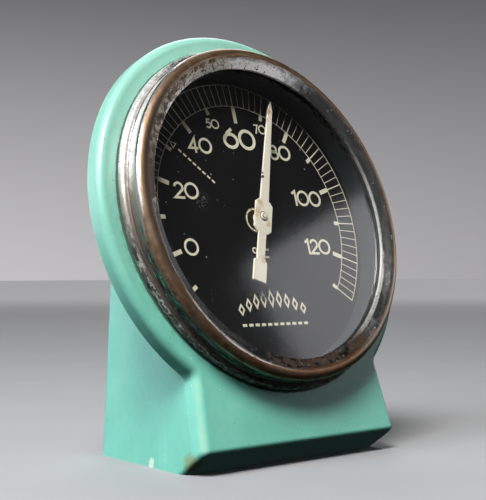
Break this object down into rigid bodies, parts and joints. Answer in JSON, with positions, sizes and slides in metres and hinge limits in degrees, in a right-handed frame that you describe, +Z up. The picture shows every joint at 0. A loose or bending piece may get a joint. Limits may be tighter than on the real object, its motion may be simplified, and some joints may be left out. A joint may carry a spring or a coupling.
{
  "type": "dial thermometer",
  "caption": "Desk dial thermometer: moulded case on a flared foot, worn metal bezel, black dial with a pointer turned by a bimetal coil.",
  "frame": {"origin": "middle of the foot's flat resting face", "axes": "+Z up, the dial faces -Y and leans back by 16 degrees, +X to the right of a person reading it"},
  "size_m": [0.091, 0.0485, 0.0986],
  "materials": {
    "green_moulding": "glossy moulded urea plastic",
    "worn_plating": "worn plating over copper",
    "clear_glass": "clear flat glass",
    "black_rubber": "matt",
    "black_enamel": "black stoved enamel",
    "dial_enamel": "semi-matt black enamel",
    "pressed_steel": "plain pressed steel",
    "brass": "turned brass",
    "steel_screw": "dull nickelled steel",
    "bright_steel": "polished arbor steel",
    "spring_steel": "blued spring steel",
    "bimetal": "rolled bimetal strip",
    "cream_enamel": "cream enamel with small chips"
  },
  "bodies": {
    "case": {"case": "green_moulding", "bezel_ring": "worn_plating", "glass": "clear_glass", "glass_gasket": "black_rubber", "spacer_ring": "black_enamel", "dial_plate": "dial_enamel", "dial_pan": "pressed_steel", "pan_bushes": "brass", "pan_screws": "steel_screw", "front_bush": "brass", "bridge": "brass", "pillars": "brass", "bridge_screws": "steel_screw", "spring_washer": "spring_steel", "back_cover": "black_enamel", "cover_inserts": "brass", "cover_screws": "steel_screw"},
    "adjuster": {"adjuster_hub": "brass", "adjuster_arm": "brass", "anchor_post": "brass", "hub_clip": "spring_steel", "bimetal_coil": "bimetal"},
    "pointer": {"pointer": "cream_enamel", "pointer_collet": "brass", "spindle": "bright_steel", "coil_collet": "brass"}
  },
  "joints": [
    {"name": "adjuster_turn", "type": "hinge", "parent": "case", "child": "adjuster", "pos_m": [0, -0.0074, 0.0546], "axis": [0, 0.9613, -0.2756], "range_deg": [-15, 15]},
    {"name": "pointer_turn", "type": "hinge", "parent": "adjuster", "child": "pointer", "pos_m": [0, -0.0074, 0.0546], "axis": [0, 0.9613, -0.2756], "range_deg": [-145, 107], "deforming": ["bimetal_coil"]}
  ]
}
